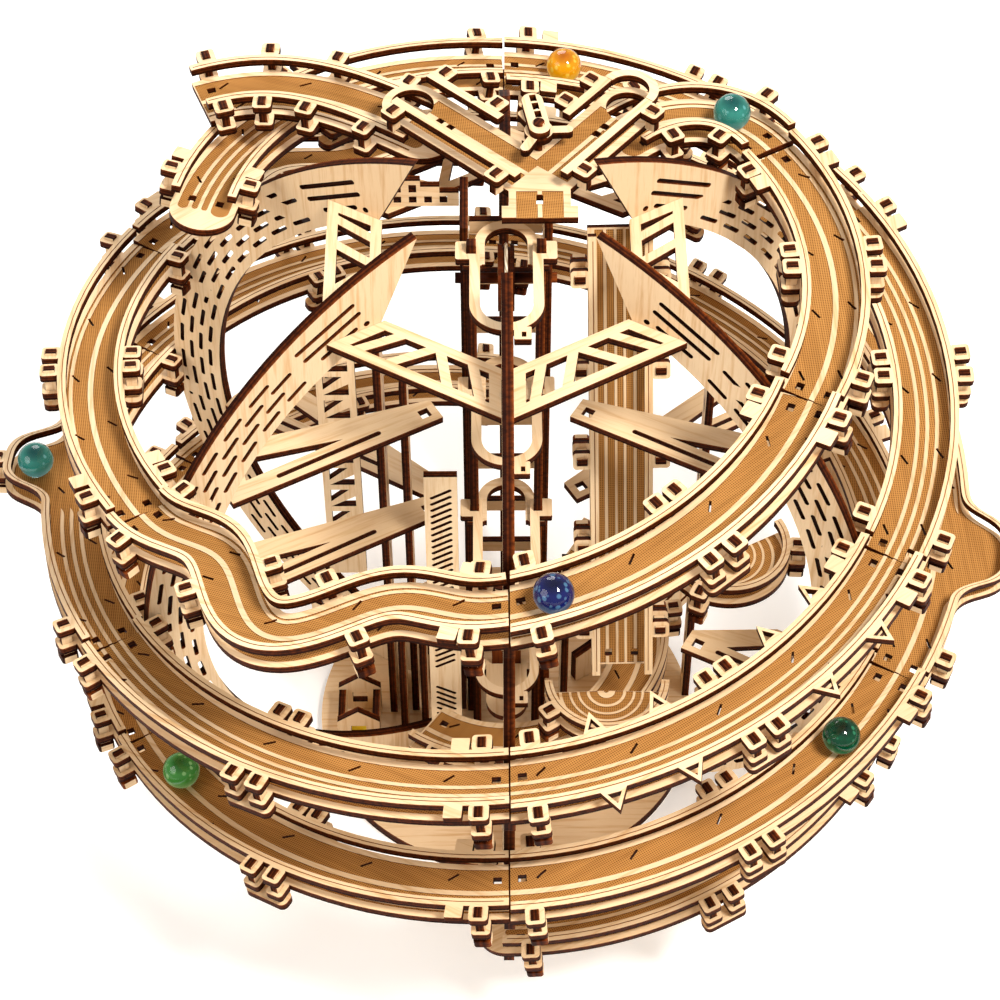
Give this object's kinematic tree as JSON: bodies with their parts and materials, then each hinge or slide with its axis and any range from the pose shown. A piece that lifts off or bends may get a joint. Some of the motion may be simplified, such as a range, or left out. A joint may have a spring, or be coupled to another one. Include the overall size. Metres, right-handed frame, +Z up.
{
  "type": "marble maze globe",
  "caption": "Globe-shaped plywood marble maze: slotted ribs carry two spiral railed tracks round a central lift tower, with a flip switch on top and glass marbles.",
  "frame": {"origin": "centre of the underside of the base plate, on the axis of the globe", "axes": "+Z up the axis of the globe, -Y to the front where the first ribs and the lift opening face the viewer, +X to the right"},
  "size_m": [0.4035, 0.369, 0.3085],
  "materials": {
    "birch_ply": "bare birch plywood faces with dark laser-burnt edges",
    "engraved_ply": "birch plywood with laser-hatched brown bands and bare light lines",
    "cord": "twisted waxed cotton cord",
    "window_film": "matt yellow film",
    "glass_amber": "polished crackle glass",
    "glass_teal": "polished crackle glass",
    "glass_blue": "polished glass with pale flecks",
    "glass_light_green": "polished crackle glass",
    "glass_dark_green": "polished crackle glass"
  },
  "bodies": {
    "frame": {"base_plate": "birch_ply", "clip_plates": "birch_ply", "collector_deck": "engraved_ply", "collector_rails": "birch_ply", "house_walls": "birch_ply", "house_window": "window_film", "junction_deck": "engraved_ply", "junction_rails": "birch_ply", "landing_decks": "engraved_ply", "lift_cord": "cord", "overhead_deck": "engraved_ply", "overhead_rails": "birch_ply", "pennant": "birch_ply", "rail_posts": "birch_ply", "ramp_board": "engraved_ply", "ramp_rails": "birch_ply", "rib_back": "birch_ply", "rib_back_left": "birch_ply", "rib_back_right": "birch_ply", "rib_brackets": "birch_ply", "rib_front": "birch_ply", "rib_front_left": "birch_ply", "rib_front_right": "birch_ply", "side_boards": "birch_ply", "slotted_panel": "birch_ply", "street_front": "birch_ply", "switch_pin": "birch_ply", "tower_guides_back": "birch_ply", "tower_guides_front": "birch_ply", "tower_pegs": "birch_ply", "tower_rungs": "birch_ply", "tower_wall_left": "birch_ply", "tower_wall_right": "birch_ply", "track_a_decks_1": "engraved_ply", "track_a_decks_2": "engraved_ply", "track_a_decks_3": "engraved_ply", "track_a_decks_4": "engraved_ply", "track_a_inner_rails": "birch_ply", "track_a_outer_rails": "birch_ply", "track_a_start_deck": "engraved_ply", "track_b_decks_1": "engraved_ply", "track_b_decks_2": "engraved_ply", "track_b_decks_3": "engraved_ply", "track_b_decks_4": "engraved_ply", "track_b_inner_rails": "birch_ply", "track_b_outer_rails": "birch_ply", "truss_arms": "birch_ply"},
    "crank_drum": {"crank_drum": "birch_ply"},
    "idler_wheel": {"idler_wheel": "birch_ply"},
    "crank_knob": {"crank_knob": "birch_ply"},
    "lift_car": {"lift_car": "birch_ply"},
    "flip_switch": {"flip_switch": "birch_ply"},
    "marble_amber": {"marble_amber": "glass_amber"},
    "marble_blue": {"marble_blue": "glass_blue"},
    "marble_dark_green": {"marble_dark_green": "glass_dark_green"},
    "marble_light_green": {"marble_light_green": "glass_light_green"},
    "marble_teal_left": {"marble_teal_left": "glass_teal"},
    "marble_teal_top": {"marble_teal_top": "glass_teal"}
  },
  "joints": [
    {"name": "crank_turn", "type": "hinge", "parent": "frame", "child": "crank_drum", "pos_m": [0, 0.006, 0.023], "axis": [-1, 0, 0], "range_deg": [0, 1140]},
    {"name": "idler_turn", "type": "hinge", "parent": "frame", "child": "idler_wheel", "pos_m": [0, 0.006, 0.262], "axis": [-1, 0, 0], "continuous": true},
    {"name": "lift_slide", "type": "slide", "parent": "frame", "child": "lift_car", "axis": [0, 0, 1], "range_m": [-0.0005, 0.24]},
    {"name": "knob_spin", "type": "hinge", "parent": "crank_drum", "child": "crank_knob", "pos_m": [-0.0245, 0.014, 0.023], "axis": [1, 0, 0], "continuous": true},
    {"name": "switch_flip", "type": "hinge", "parent": "frame", "child": "flip_switch", "pos_m": [0.012, 0.038, 0.296], "axis": [0, 0, 1], "range_deg": [-14, 14]},
    {"name": "roll_blue", "type": "hinge", "parent": "frame", "child": "marble_blue", "pos_m": [-0.01437, -0.0089, 0.25488], "axis": [-0.1382, -0.0798, 0.9872], "range_deg": [-2, 50]},
    {"name": "roll_light_green", "type": "hinge", "parent": "frame", "child": "marble_light_green", "pos_m": [0.00424, -0.00248, 0.11155], "axis": [-0.1097, 0.0634, 0.9919], "range_deg": [-6.5, 46]},
    {"name": "roll_dark_green", "type": "hinge", "parent": "frame", "child": "marble_dark_green", "pos_m": [0.00194, 0.00111, 0.13212], "axis": [-0.1074, -0.062, 0.9923], "range_deg": [-43, 9]},
    {"name": "roll_amber", "type": "hinge", "parent": "frame", "child": "marble_amber", "pos_m": [0.01074, -0.00592, 0.23476], "axis": [0.1242, -0.0717, 0.9897], "range_deg": [-46, 5.5]},
    {"name": "roll_teal_left", "type": "slide", "parent": "frame", "child": "marble_teal_left", "axis": [-0.9987, 0.0508, -0.0063], "range_m": [-0.017, 0.0005]},
    {"name": "roll_teal_top", "type": "slide", "parent": "frame", "child": "marble_teal_top", "axis": [0.8614, -0.5079, 0], "range_m": [-0.006, 0.006]}
  ],
  "couplings": [
    {"joint": "idler_turn", "follows": "crank_turn", "ratio": 1},
    {"joint": "lift_slide", "follows": "crank_turn", "m_per_rad": 0.012}
  ]
}
